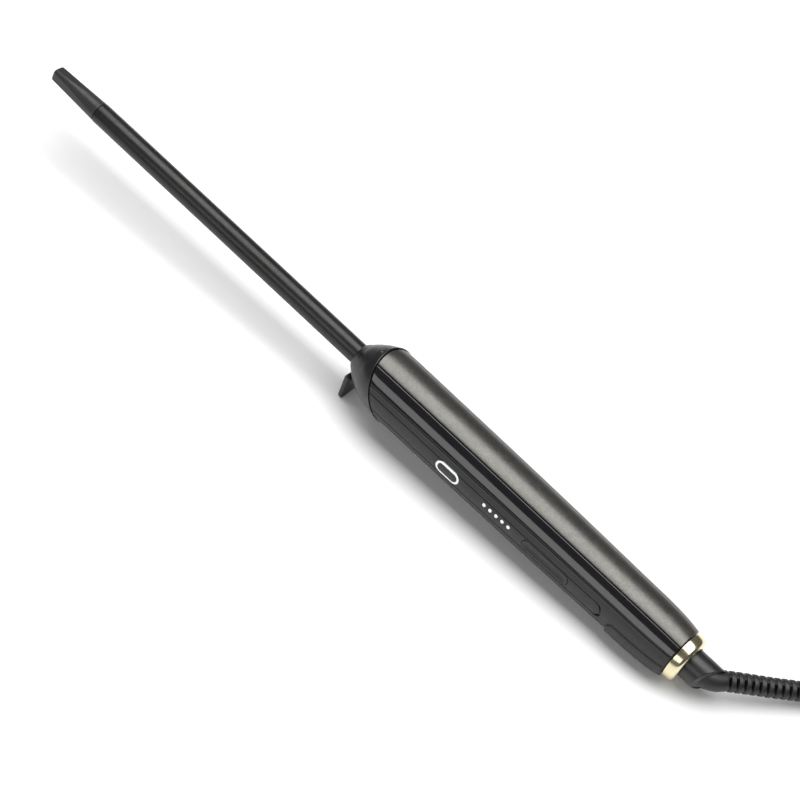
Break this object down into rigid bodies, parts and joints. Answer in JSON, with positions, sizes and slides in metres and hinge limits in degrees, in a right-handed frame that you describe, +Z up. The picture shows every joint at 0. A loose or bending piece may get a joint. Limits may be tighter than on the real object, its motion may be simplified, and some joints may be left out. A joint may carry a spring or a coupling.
{
  "type": "curling iron",
  "caption": "Slim-barrel curling wand with a cool tip, a folding stand under the nose, a control panel with a key row, a swivel cord exit and its cord put away in a coil.",
  "frame": {"origin": "middle of the wand's footprint on the surface it lies on, without the free cord", "axes": "+Z up, +X along the wand from the cool tip towards the cord, -Y the side the controls face"},
  "size_m": [0.512, 0.0909, 0.0334],
  "materials": {
    "barrel_graphite": "satin",
    "tip_plastic": "satin",
    "ceramic": "matte",
    "sensor_bead": "satin",
    "lead_sleeve": "matte",
    "insulator": "matte",
    "nose_plastic": "satin",
    "steel": "satin",
    "stand_plastic": "satin",
    "pewter_paint": "metallic satin",
    "gloss_black": "gloss",
    "matte_black": "matte",
    "panel_black": "matte",
    "heel_rubber": "matte",
    "light_white": "satin",
    "board_green": "matte",
    "switch_grey": "matte",
    "gold": "polished",
    "satin_black": "satin",
    "copper": "bright",
    "soft_black": "satin",
    "tie_fabric": "woven",
    "pin_nickel": "polished"
  },
  "bodies": {
    "handle": {"barrel_tube": "barrel_graphite", "cool_tip": "tip_plastic", "heater_rod": "ceramic", "temperature_sensor": "sensor_bead", "heater_lead_1": "lead_sleeve", "heater_lead_2": "lead_sleeve", "barrel_holder": "insulator", "nose_cone": "nose_plastic", "nose_screw": "steel", "stand_hinge_pin": "steel", "back_shell": "pewter_paint", "front_shell": "gloss_black", "grip_frame": "matte_black", "heel_pad": "heel_rubber", "control_panel": "panel_black", "button_light_ring": "light_white", "led_window_1": "light_white", "led_window_2": "light_white", "led_window_3": "light_white", "led_window_4": "light_white", "led_window_5": "light_white", "rocker_pivot_pin": "steel", "circuit_board": "board_green", "power_switch": "switch_grey", "minus_switch": "switch_grey", "plus_switch": "switch_grey", "rear_ring": "gold", "swivel_bush": "insulator", "brush_block": "switch_grey", "supply_lead_1": "lead_sleeve", "supply_lead_2": "lead_sleeve", "cord_run": "soft_black", "cord_coil": "soft_black", "cord_tie": "tie_fabric", "cord_end": "soft_black", "plug_body": "satin_black", "plug_pin_1": "pin_nickel", "plug_pin_2": "pin_nickel"},
    "stand": {"stand_plate": "stand_plastic"},
    "button": {"power_button": "matte_black"},
    "rocker": {"temperature_rocker": "matte_black"},
    "swivel": {"swivel_collar": "satin_black", "swivel_clip": "steel", "slip_ring_live": "copper", "slip_ring_neutral": "copper", "strain_relief": "soft_black"}
  },
  "joints": [
    {"name": "stand_fold", "type": "hinge", "parent": "handle", "child": "stand", "pos_m": [-0.02656, -0.01321, 0.01184], "axis": [0, 1, 0], "range_deg": [0, 88]},
    {"name": "power_press", "type": "slide", "parent": "handle", "child": "button", "axis": [-0.0029, 0.9986, -0.0523], "range_m": [0, 0.0004], "stiffness_N_per_m": 1500},
    {"name": "temperature_tilt", "type": "hinge", "parent": "handle", "child": "rocker", "pos_m": [0.07809, -0.0242, 0.01525], "axis": [0.055, 0.0523, 0.9971], "range_deg": [-3, 3], "stiffness_Nm_per_rad": 0.15},
    {"name": "cord_swivel", "type": "hinge", "parent": "handle", "child": "swivel", "pos_m": [0.14026, -0.01321, 0.01124], "axis": [0.9985, 0, -0.0551], "continuous": true}
  ]
}
